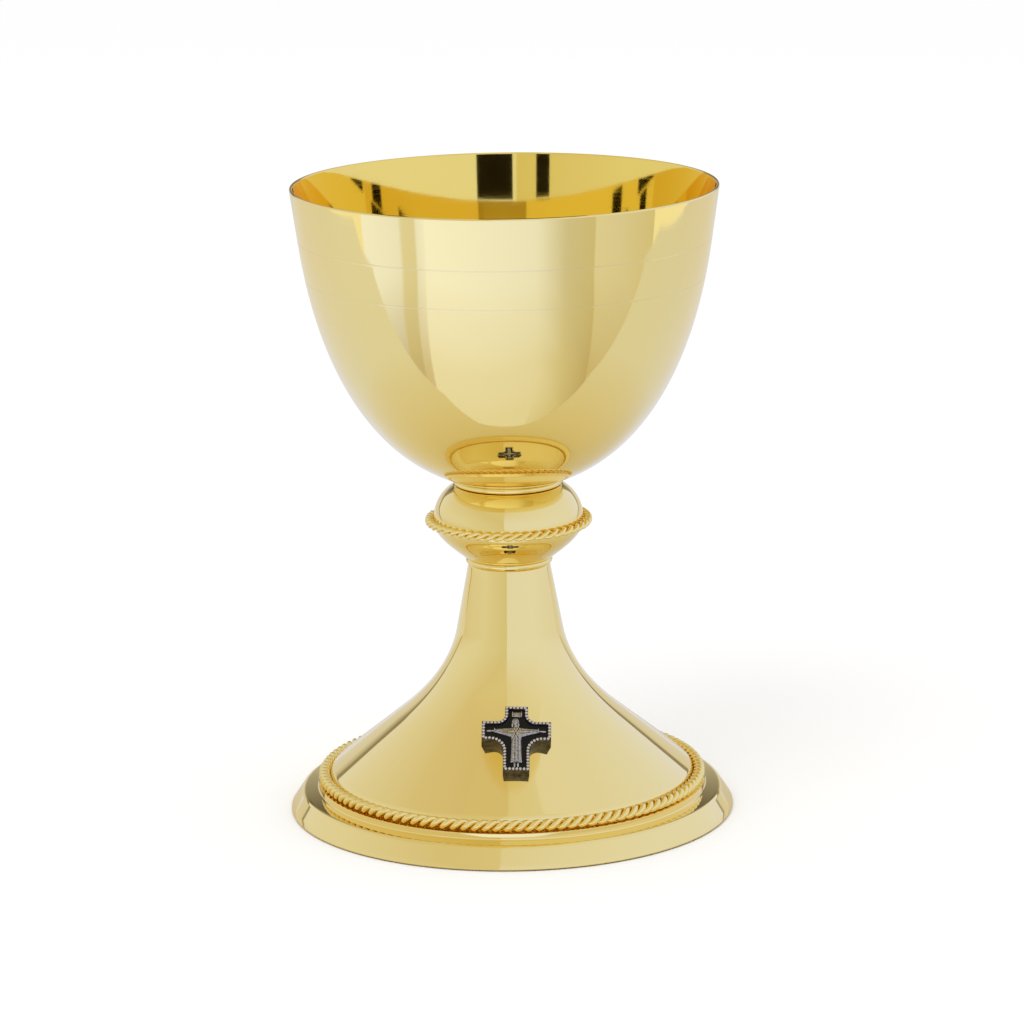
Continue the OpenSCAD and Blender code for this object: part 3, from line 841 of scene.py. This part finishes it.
class ALTARCUP_OT_cross(bpy.types.Operator):
    """Cast the cross with its sunk field, set its beads and fuse its black ground"""
    bl_idname = "altar_cup.cross"
    bl_label = "Cross"

    bead_relief = 0.85

    def execute(self, context):
        size = context.scene.altar_cup.cross
        place = cross_place(context.scene.altar_cup.stand, size)
        self.casting(context, size, place)
        self.ground(context, size, place)
        return {"FINISHED"}

    def casting(self, context, size, place):
        """A block with a sunk field, its back cut to the stem and its border set with beads."""
        draft = 0.15 * MM
        steep = math.radians(40)
        bm = bmesh.new()
        face = cross_face(bm, size)
        top = bmesh.ops.extrude_face_region(bm, geom=[face], use_keep_orig=True)["geom"]
        front = next(f for f in top if isinstance(f, bmesh.types.BMFace))
        back = [v for v in bm.verts if v not in front.verts]
        bmesh.ops.translate(bm, verts=back, vec=(0, 0, -2 * size.thickness))
        inset_face(bm, front, size.border - draft)
        inset_face(bm, front, draft, depth=size.field_depth)
        crest = [e for e in bm.edges if e.calc_face_angle() > steep
                 and all(abs(v.co.z) < SAME_PLACE for v in e.verts)]
        bevelled(bm, crest, 0.1 * MM, segments=2)
        bmesh.ops.transform(bm, matrix=place, verts=bm.verts)
        bm = self.cut_to_stem(context, bm)
        self.beads(bm, size, place)
        mesh = new_mesh(bm, "cross_casting")
        mark_relief(mesh, [self.bead_relief] * len(mesh.vertices))
        place_piece(context, mesh, "stand", ["cross_body"],
                    [silver_oxidised, silver_rubbed])

    def cut_to_stem(self, context, bm):
        """Take the stem, and the film of solder on it, away from the back of the casting."""
        outline = stem_outline(context.scene.altar_cup.stand)
        solder = spun([Vector((0, outline[0].y))] + outline + [Vector((0, outline[-1].y))])
        for vert in solder.verts:
            vert.co += vert.normal * SOLDER
        cutter = new_object(context, "stem_and_solder", new_mesh(solder, "stem_and_solder"))
        block = new_object(context, "cross_block", new_mesh(bm, "cross_block"))
        cut = block.modifiers.new("cut", "BOOLEAN")
        cut.operation = "DIFFERENCE"
        cut.solver = "EXACT"
        cut.object = cutter
        seated = bmesh_of(baked(context, block))
        bpy.data.objects.remove(cutter)
        return seated

    def beads(self, bm, size, place):
        """Set a row of beads along the middle of the border."""
        line = bmesh.new()
        face = cross_face(line, size)
        inset_face(line, face, size.border / 2)
        places = spaced([v.co.copy() for v in face.verts], size.bead_pitch)
        line.free()
        for at in places:
            bead = bmesh.ops.create_uvsphere(bm, u_segments=10, v_segments=6, radius=size.bead / 2,
                                             matrix=place @ Matrix.Translation(at))
            for face in {f for v in bead["verts"] for f in v.link_faces}:
                face.material_index = 1

    def ground(self, context, size, place):
        """A flat plate that fills the bottom of the sunk field."""
        bm = bmesh.new()
        face = cross_face(bm, size)
        border = inset_face(bm, face, size.border + SOLDER)
        bmesh.ops.delete(bm, geom=border, context="FACES")
        top = bmesh.ops.extrude_face_region(bm, geom=[face], use_keep_orig=True)["geom"]
        upper = [v for v in top if isinstance(v, bmesh.types.BMVert)]
        bmesh.ops.translate(bm, verts=upper, vec=(0, 0, size.ground))
        bmesh.ops.translate(bm, verts=bm.verts, vec=(0, 0, -size.field_depth))
        bmesh.ops.transform(bm, matrix=place, verts=bm.verts)
        mesh = new_mesh(bm, "cross_ground")
        place_piece(context, mesh, "stand", ["cross_field"], [niello_black])


class ALTARCUP_OT_figure(bpy.types.Operator):
    """Model the robed figure and the small scroll above it in low relief"""
    bl_idname = "altar_cup.figure"
    bl_label = "Figure and scroll"

    # All sizes are millimetres, from the crossing of the arms and up from the black ground.
    # Robe: height up the cross, half width and height of the crown
    robe = [(-10.65, 1.62, 0.35), (-10.4, 1.74, 0.62), (-9.0, 1.66, 0.7), (-6.0, 1.54, 0.78),
            (-3.4, 1.46, 0.85), (-1.8, 1.66, 0.95), (0.0, 1.9, 0.95), (0.8, 1.6, 0.85), (1.2, 0.9, 0.6)]
    # Sleeve and hand: distance to the side, lower edge, upper edge and height of the crown
    sleeve = [(0.4, -2.3, 1.2, 0.85), (1.6, -2.15, 1.15, 0.85), (3.0, -1.6, 0.98, 0.72),
              (4.6, -1.05, 0.76, 0.62), (6.0, -0.7, 0.6, 0.6), (6.4, -0.55, 0.5, 0.42)]
    hand = [(6.2, -0.22, 0.24, 0.34), (6.9, -0.26, 0.28, 0.38), (7.5, -0.36, 0.36, 0.36),
            (8.1, -0.3, 0.26, 0.28), (8.45, -0.1, 0.08, 0.12)]
    # Neck, head, hair, brow, nose, cheeks, mouth, chin and feet: centre and half sizes
    masses = [
        ((-0.2, 1.45, 0.5), (0.5, 0.6, 0.45)),
        ((-0.3, 2.75, 0.55), (0.78, 1.05, 0.66)),
        ((-0.3, 3.02, 0.42), (1.06, 1.12, 0.56)),
        ((-1.12, 1.95, 0.36), (0.34, 0.95, 0.38)),
        ((0.54, 1.95, 0.36), (0.34, 0.95, 0.38)),
        ((-0.3, 3.1, 1.1), (0.46, 0.12, 0.13)),
        ((-0.3, 2.76, 1.2), (0.12, 0.3, 0.17)),
        ((-0.62, 2.58, 1.04), (0.2, 0.17, 0.15)),
        ((0.02, 2.58, 1.04), (0.2, 0.17, 0.15)),
        ((-0.3, 2.3, 1.1), (0.34, 0.09, 0.13)),
        ((-0.3, 1.95, 0.92), (0.46, 0.36, 0.3)),
        ((-0.48, -11.5, 0.3), (0.34, 0.95, 0.4)),
        ((0.48, -11.5, 0.3), (0.34, 0.95, 0.4)),
    ]
    # Raised edges of the robe: start, end and half width
    edges = [((-1.4, -10.3), (1.4, -10.3), 0.14), ((6.1, 0.6), (6.1, -0.65), 0.14),
             ((-6.1, 0.6), (-6.1, -0.65), 0.14)]
    edge_height = 0.78
    # Lines cut where the robe laps over: start, end, half width and depth
    laps = [((-1.15, 1.1), (0.35, -2.5), 0.17, 0.16), ((0.85, 1.1), (-1.2, -3.3), 0.17, 0.16)]
    # Depth of the folds below and above the waist and in the sleeves
    waist = -2
    skirt_folds, chest_folds, sleeve_folds = 0.11, 0.03, 0.08
    # Scroll: distance to the side of its middle, half height and height of the crown
    strip = [(-1.3, 0.8, 0.3), (-0.8, 0.82, 0.26), (0, 0.84, 0.3), (0.8, 0.82, 0.26), (1.3, 0.8, 0.3)]
    strip_middle = (0.1, 5.7)
    roll = (0.24, 1.02, 0.34)
    # Relief of an even surface, and the height above its surroundings that adds 1 to it
    even_relief, relief_height = 0.45, 0.12

    def execute(self, context):
        size = context.scene.altar_cup.cross
        lift = Matrix.Translation((0, 0, size.ground - size.field_depth)) @ Matrix.Scale(MM, 4)
        place = cross_place(context.scene.altar_cup.stand, size) @ lift
        self.cast(context, self.figure(), "figure_relief", 0.055, place, "cross_figure", self.laps)
        self.cast(context, self.scroll(), "scroll_relief", 0.04, place, "cross_plaque", [])
        return {"FINISHED"}

    def loft(self, bm, rings):
        """A closed body through rings that each have as many points."""
        face = bm.faces.new([bm.verts.new(point) for point in rings[0]])
        for i, ring in enumerate(rings[1:]):
            made = bmesh.ops.extrude_face_region(bm, geom=[face], use_keep_orig=i == 0)["geom"]
            face = next(f for f in made if isinstance(f, bmesh.types.BMFace))
            for vert, point in zip(face.verts, ring):
                vert.co = point

    def crowned(self, low, high, height, folds):
        """Points across a crowned strip that stands on the ground, with folds in its crown."""
        steps = 24
        fold_turn = 11
        root = -0.15
        points = []
        for i in range(steps + 1):
            share = 2 * i / steps - 1
            crown = height * math.sqrt(max(0, 1 - abs(share) ** 3))
            fold = folds * math.cos(share * fold_turn) * (1 - share ** 2)
            points.append((low + (high - low) * (share + 1) / 2, crown + fold))
        return points + [(high, root), (low, root)]

    def mass(self, bm, centre, half, u_segments, v_segments, turn=Matrix()):
        """A rounded mass with those half sizes."""
        matrix = Matrix.Translation(centre) @ turn @ Matrix.Diagonal((*half, 1))
        bmesh.ops.create_uvsphere(bm, u_segments=u_segments, v_segments=v_segments, radius=1, matrix=matrix)

    def figure(self):
        """The robe, the sleeves and hands, the head and feet, and the robe's raised edges."""
        bm = bmesh.new()
        rings = []
        for y, half, height in self.robe:
            folds = self.skirt_folds if y < self.waist else self.chest_folds
            rings.append([(x, y, z) for x, z in self.crowned(-half, half, height, folds)])
        self.loft(bm, rings)
        for side in (-1, 1):
            for limb, folds in ((self.sleeve, self.sleeve_folds), (self.hand, 0)):
                rings = []
                for x, low, high, height in limb:
                    rings.append([(side * x, y, z) for y, z in self.crowned(low, high, height, folds)])
                self.loft(bm, rings)
        for centre, half in self.masses:
            self.mass(bm, centre, half, 24, 14)
        for start, end, half in self.edges:
            first = Vector((*start, self.edge_height))
            last = Vector((*end, self.edge_height))
            run = last - first
            along = run.to_track_quat("Z", "Y").to_matrix().to_4x4()
            self.mass(bm, first.lerp(last, 0.5), (half, half * 1.4, run.length / 2), 12, 16, along)
        bmesh.ops.recalc_face_normals(bm, faces=bm.faces)
        return bm

    def scroll(self):
        """A plain strip with rolled ends."""
        bm = bmesh.new()
        x, y = self.strip_middle
        rings = []
        for aside, half, height in self.strip:
            rings.append([(x + aside, y + up, z) for up, z in self.crowned(-half, half, height, 0)])
        self.loft(bm, rings)
        for aside in (-1.25, 1.25):
            self.mass(bm, (x + aside, y, 0.26), self.roll, 16, 12)
        bmesh.ops.recalc_face_normals(bm, faces=bm.faces)
        return bm

    def cast(self, context, bm, name, grain, place, node, laps):
        """Fuse the masses into one casting, soften it and put it in its place."""
        rough = new_object(context, name + "_rough", new_mesh(bm, name + "_rough"))
        fuse = rough.modifiers.new("fuse", "REMESH")
        fuse.mode = "VOXEL"
        fuse.voxel_size = grain
        bm = bmesh_of(baked(context, rough))
        self.soften(bm, 3)
        for start, end, half, depth in laps:
            self.cut_line(bm, start, end, half, depth)
        soft = bm.copy()
        self.soften(soft, 30)
        proud = [v.co.z - s.co.z for v, s in zip(bm.verts, soft.verts)]
        soft.free()
        bmesh.ops.transform(bm, matrix=place, verts=bm.verts)
        mesh = new_mesh(bm, name)
        relief = [self.even_relief + height / self.relief_height for height in proud]
        mark_relief(mesh, [min(1, max(0, value)) for value in relief])
        place_piece(context, mesh, "stand", [node], [silver_rubbed])

    def soften(self, bm, times):
        """Even out the surface, a little each time."""
        for _ in range(times):
            bmesh.ops.smooth_vert(bm, verts=bm.verts, factor=0.5, use_axis_x=True, use_axis_y=True,
                                  use_axis_z=True)

    def cut_line(self, bm, start, end, half, depth):
        """Press a round groove into the front along a line."""
        front = 0.3
        first = Vector(start)
        run = Vector(end) - first
        for vert in bm.verts:
            away = vert.co.xy - first
            share = min(1, max(0, away.dot(run) / run.length_squared))
            aside = (away - run * share).length / half
            if aside < 1 and vert.co.z > front:
                vert.co.z -= depth * (1 - aside ** 2)


class ALTARCUP_OT_fastenings(bpy.types.Operator):
    """Finish the bush, the bolt, its washers and the pegs, which keep their turned shapes"""
    bl_idname = "altar_cup.fastenings"
    bl_label = "Fastenings"

    finishes = {
        "knop_bush": brass_turned,
        "stem_bolt": steel_zinc_plated,
        "plain_washer": steel_zinc_plated,
        "spring_washer": steel_zinc_plated,
        "cross_pegs": silver_oxidised,
    }

    def execute(self, context):
        for node, make in self.finishes.items():
            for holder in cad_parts[node].material_slots:
                holder.material = finished(context, make)
        return {"FINISHED"}


class ALTARCUP_OT_stage(bpy.types.Operator):
    """Lay the floor, hang the studio's panels, and set the lamp, the sky and the camera"""
    bl_idname = "altar_cup.stage"
    bl_label = "Stage"

    # What the metal sees is a cloth tent, the wall behind it, and the room in front of the table.
    # A column is an azimuth in degrees, from the front to the right, with its tint and level at the top
    # and at the foot. A row is a distance from the axis and a height, both in metres, how far the
    # colour has gone from top to foot, and how far the azimuths spread there.
    tent_rows = [(0.02, 1.15, 0.0, 1.3), (0.8, 0.9, 0.3, 1.3), (0.8, 0.26, 1.0, 1.26),
                 (0.8, 0.12, 1.0, 1.18), (0.8, -0.02, 0.3, 1.0)]
    tent_columns = [
        (-123.5, ("shade", 1.0), ("shade", 0.5)), (-119.1, ("shade", 1.0), ("shade", 0.5)),
        (-119, ("shade", 1.1), ("canvas", 1.0)), (-60, ("shade", 1.14), ("canvas", 0.98)),
        (-7.8, ("cream", 1.02), ("cream", 0.97)), (-7.7, ("cream", 1.02), ("daylight", 1.32)),
        (45, ("canvas", 1.0), ("daylight", 1.34)), (119, ("canvas", 0.95), ("daylight", 1.3)),
        (119.1, ("canvas", 0.9), ("shade", 0.5)), (123.5, ("canvas", 0.9), ("shade", 0.5)),
    ]
    wall_rows = [(0.02, 1.3, 0.0, 1), (0.95, 1.0, 0.1, 1), (0.95, 0.5, 0.6, 1), (0.95, 0.36, 1, 1),
                 (0.95, 0.25, 0.6, 1), (0.95, 0.16, 0.1, 1), (0.95, -0.02, 0.1, 1)]
    wall_columns = [(azimuth, ("cream", 1.06), ("shade", 0.22)) for azimuth in (95, 140, 180, 220, 265)]
    room_rows = [(0.8, 0.0, 0.0, 1.0), (0.8, -0.15, 0.0, 1.08), (0.8, -0.3, 0.3, 1.17),
                 (0.8, -0.6, 0.75, 1.33), (0.8, -1.2, 1.0, 1.66), (0.02, -1.2, 1.0, 1.66)]
    room_columns = [
        (-80, ("window", 1.85), ("shade", 0.6)), (-57, ("window", 1.71), ("shade", 0.75)),
        (-55, ("canvas", 1.0), ("shade", 0.85)), (-48, ("canvas", 0.98), ("shade", 0.88)),
        (-47, ("window", 1.71), ("shade", 1.0)), (-42.6, ("window", 1.85), ("shade", 1.0)),
        (-42.5, ("window", 1.92), ("canvas", 1.05)), (13, ("window", 1.71), ("canvas", 1.02)),
        (28, ("canvas", 0.84), ("cream", 0.95)), (43.3, ("cream", 0.9), ("shade", 0.86)),
        (43.4, ("canvas", 0.98), ("shade", 0.97)), (58, ("canvas", 0.93), ("shade", 0.97)),
        (80, ("cream", 0.95), ("shade", 0.95)),
    ]
    # Painted reflections: dark sheets that only the inside of the bowl mirrors, once or twice, so they
    # stand just above its mouth in place of gaps and folds of the cloth: first and last azimuth in degrees,
    # lower and upper height in millimetres
    gap_distance = 0.058
    gap_level = 0.3
    gap_steps = 4
    painted_gap_sheets = {
        "painted_camera_gap": (-9.7, 20.3, 180.3, 198),
        "painted_narrow_gap": (-40.7, -29.5, 180.3, 198),
        "painted_right_fold": (33, 54, 198, 204),
        "painted_middle_fold": (2, 17, 199, 210),
        "painted_left_fold": (-53, -25, 199, 206),
    }
    # Corners of the table top that the metal sees, in millimetres
    table_corners = [(-440, -91), (-100, -92), (-40, -76), (25, -80), (140, -102), (455, -97), (517, -20),
                     (560, 160), (1600, 2500), (-1600, 2500), (-560, 160), (-523, -9), (-480, -41)]

    def execute(self, context):
        studio = context.scene.altar_cup.studio
        self.floor(context, studio)
        self.table(context, studio)
        cloth = self.glow("studio cloth")
        self.card(context, "tent", cloth, self.tent_columns, self.tent_rows)
        self.card(context, "wall", cloth, self.wall_columns, self.wall_rows)
        self.card(context, "room", cloth, self.room_columns, self.room_rows)
        # Dark sheets that paint reflections of gaps and folds into the bowl's inside
        dark = ("gap", self.gap_level)
        for name, (first, last, low, high) in self.painted_gap_sheets.items():
            step = (last - first) / self.gap_steps
            columns = [(first + step * i, dark, dark) for i in range(self.gap_steps + 1)]
            rows = [(self.gap_distance, z * MM, 0, 1) for z in (high, low)]
            self.card(context, name, cloth, columns, rows)
        self.light(context)
        self.camera(context, studio)
        context.scene.view_settings.view_transform = "Standard"
        context.scene.cycles.glossy_bounces = 10
        return {"FINISHED"}

    def stand_in(self, context, bm, name, finish, metal_only):
        """A piece of the studio, which only the metal sees, or everything but the metal."""
        mesh = new_mesh(bm, name)
        mesh.materials.append(finish)
        thing = new_object(context, name, mesh)
        thing.visible_glossy = metal_only
        thing.visible_camera = not metal_only
        thing.visible_diffuse = not metal_only
        thing.visible_transmission = not metal_only
        thing.visible_shadow = not metal_only

    def glow(self, name):
        """Cloth that shines in the colours of the attribute tone."""
        finish = bpy.data.materials.new(name)
        finish.use_nodes = True
        tree = finish.node_tree
        tree.nodes.clear()
        tone = add_node(tree, "ShaderNodeAttribute", attribute_name="tone")
        light = add_node(tree, "ShaderNodeEmission", {"Color": tone.outputs["Color"], "Strength": 1.0})
        add_node(tree, "ShaderNodeOutputMaterial", {"Surface": light.outputs[0]})
        return finish

    def floor(self, context, studio):
        """A wide sheet of paper, just below the foot."""
        drop = 0.3 * MM
        bm = bmesh.new()
        bmesh.ops.create_grid(bm, x_segments=1, y_segments=1, size=8)
        bmesh.ops.translate(bm, verts=bm.verts, vec=(0, 0, -drop))
        paper = new_finish("floor, pale paper", Base_Color=studio.floor, Roughness=0.9,
                           Specular_IOR_Level=0.0)[0]
        self.stand_in(context, bm, "floor", paper, False)

    def table(self, context, studio):
        """The table top as the metal sees it, with its front edge close before the cup.

        Its tone is warm close to the foot, painted light that stands in for the gold's own light thrown
        onto the table, and runs to cream far behind the cup.
        """
        drop = 0.1 * MM
        # Painted light: the warm tone close to the foot stands in for light that the gold throws onto the
        # table
        warm_near, warm_far = 70 * MM, 220 * MM
        cream_near, cream_far = 100 * MM, 600 * MM
        bm = bmesh.new()
        bm.faces.new([bm.verts.new((x * MM, y * MM, -drop)) for x, y in self.table_corners])
        finish, tree, shader = new_finish("table, white laminate", Roughness=0.9, Specular_IOR_Level=0.0)
        place = add_node(tree, "ShaderNodeTexCoord").outputs["Object"]
        away = add_node(tree, "ShaderNodeVectorMath", {0: place}, operation="LENGTH")
        share = add_node(tree, "ShaderNodeMapRange",
                         {"Value": away.outputs["Value"], "From Min": warm_near, "From Max": warm_far})
        near = add_node(tree, "ShaderNodeMix",
                        {0: share.outputs[0], 6: studio.table_painted_gold_light, 7: studio.table}, data_type="RGBA")
        behind = add_node(tree, "ShaderNodeVectorMath", {0: place, 1: (0, 1, 0)}, operation="DOT_PRODUCT")
        far = add_node(tree, "ShaderNodeMapRange",
                       {"Value": behind.outputs["Value"], "From Min": cream_near, "From Max": cream_far})
        tone = add_node(tree, "ShaderNodeMix", {0: far.outputs[0], 6: near.outputs[2], 7: studio.cream},
                        data_type="RGBA")
        tree.links.new(tone.outputs[2], shader.inputs["Base Color"])
        self.stand_in(context, bm, "table_top", finish, True)

    def card(self, context, name, finish, columns, rows):
        """A sheet of cloth round the cup, with its colours in the attribute tone."""
        studio = context.scene.altar_cup.studio
        bm = bmesh.new()
        tone = bm.verts.layers.float_color.new("tone")
        grid = []
        for azimuth, top, foot in columns:
            ends = [Vector(getattr(studio, tint)) * level for tint, level in (top, foot)]
            line = []
            for distance, z, share, widening in rows:
                turn = math.radians(azimuth) * widening
                vert = bm.verts.new((distance * math.sin(turn), -distance * math.cos(turn), z))
                vert[tone] = ends[0].lerp(ends[1], share)
                line.append(vert)
            grid.append(line)
        for left, right in zip(grid, grid[1:]):
            for quad in zip(left, left[1:], right[1:], right):
                bm.faces.new(quad)
        self.stand_in(context, bm, name, finish, True)

    def light(self, context):
        """A white sky for what the camera and the metal see, and a plain level for the rest."""
        world = bpy.data.worlds.new("studio")
        context.scene.world = world
        world.use_nodes = True
        tree = world.node_tree
        tree.nodes.clear()
        path = add_node(tree, "ShaderNodeLightPath")
        seen = path.outputs["Is Camera Ray"]
        for ray in ("Is Glossy Ray", "Is Transmission Ray"):
            seen = add_node(tree, "ShaderNodeMath", {0: seen, 1: path.outputs[ray]},
                            operation="MAXIMUM").outputs[0]
        level = add_node(tree, "ShaderNodeMapRange", {"Value": seen, "To Min": 0.97, "To Max": 1.0})
        sky = add_node(tree, "ShaderNodeBackground",
                       {"Color": (1, 1, 1, 1), "Strength": level.outputs[0]})
        add_node(tree, "ShaderNodeOutputWorld", {"Surface": sky.outputs[0]})
        lamp = bpy.data.lights.new("softbox", "AREA")
        lamp.shape = "DISK"
        lamp.size = 1.2
        lamp.energy = 6
        holder = new_object(context, "softbox", lamp)
        holder.location = (-0.7, -0.9, 1.5)
        aim = Vector((0, 0, 0.1)) - holder.location
        holder.rotation_euler = aim.to_track_quat("-Z", "Y").to_euler()
        holder.visible_glossy = False

    def camera(self, context, studio):
        """The camera, which stands before the cup and dips towards it."""
        lens = bpy.data.cameras.new("camera")
        lens.lens = studio.lens
        lens.sensor_width = 36
        lens.clip_end = 50
        turn = Matrix.Rotation(-studio.azimuth, 4, "Z")
        stand = Matrix.Translation((studio.side_step, -studio.distance, studio.height))
        dip = Matrix.Rotation(math.pi / 2 - studio.pitch, 4, "X")
        roll = Matrix.Rotation(-studio.roll, 4, "Z")
        eye = new_object(context, "camera", lens)
        eye.matrix_world = turn @ stand @ dip @ roll
        context.scene.camera = eye


class ALTARCUP_PT_sidebar(bpy.types.Panel):
    """The altar cup's pieces, sizes and colours"""
    bl_label = "Altar cup"
    bl_idname = "ALTARCUP_PT_sidebar"
    bl_space_type = "VIEW_3D"
    bl_region_type = "UI"
    bl_category = "Altar cup"

    def draw(self, context):
        settings = context.scene.altar_cup
        for operator in OPERATORS:
            self.layout.operator(operator.bl_idname)
        for part in settings.__annotations__:
            group = getattr(settings, part)
            box = self.layout.box()
            for field in group.__annotations__:
                box.prop(group, field)


OPERATORS = (
    ALTARCUP_OT_cup,
    ALTARCUP_OT_neck,
    ALTARCUP_OT_knop,
    ALTARCUP_OT_stem,
    ALTARCUP_OT_foot,
    ALTARCUP_OT_ropes,
    ALTARCUP_OT_cross,
    ALTARCUP_OT_figure,
    ALTARCUP_OT_fastenings,
    ALTARCUP_OT_stage,
)
CLASSES = (CupSizes, StandSizes, RopeSizes, CrossSizes, Finishes, Studio, AltarCup, *OPERATORS,
           ALTARCUP_PT_sidebar)


def register():
    for each in CLASSES:
        bpy.utils.register_class(each)
    bpy.types.Scene.altar_cup = PointerProperty(type=AltarCup)


def unregister():
    del bpy.types.Scene.altar_cup
    for each in reversed(CLASSES):
        bpy.utils.unregister_class(each)


def main():
    register()
    bpy.ops.altar_cup.cup()
    bpy.ops.altar_cup.neck()
    bpy.ops.altar_cup.knop()
    bpy.ops.altar_cup.stem()
    bpy.ops.altar_cup.foot()
    bpy.ops.altar_cup.ropes()
    bpy.ops.altar_cup.cross()
    bpy.ops.altar_cup.figure()
    bpy.ops.altar_cup.fastenings()
    bpy.ops.altar_cup.stage()


if __name__ == "__main__":
    main()
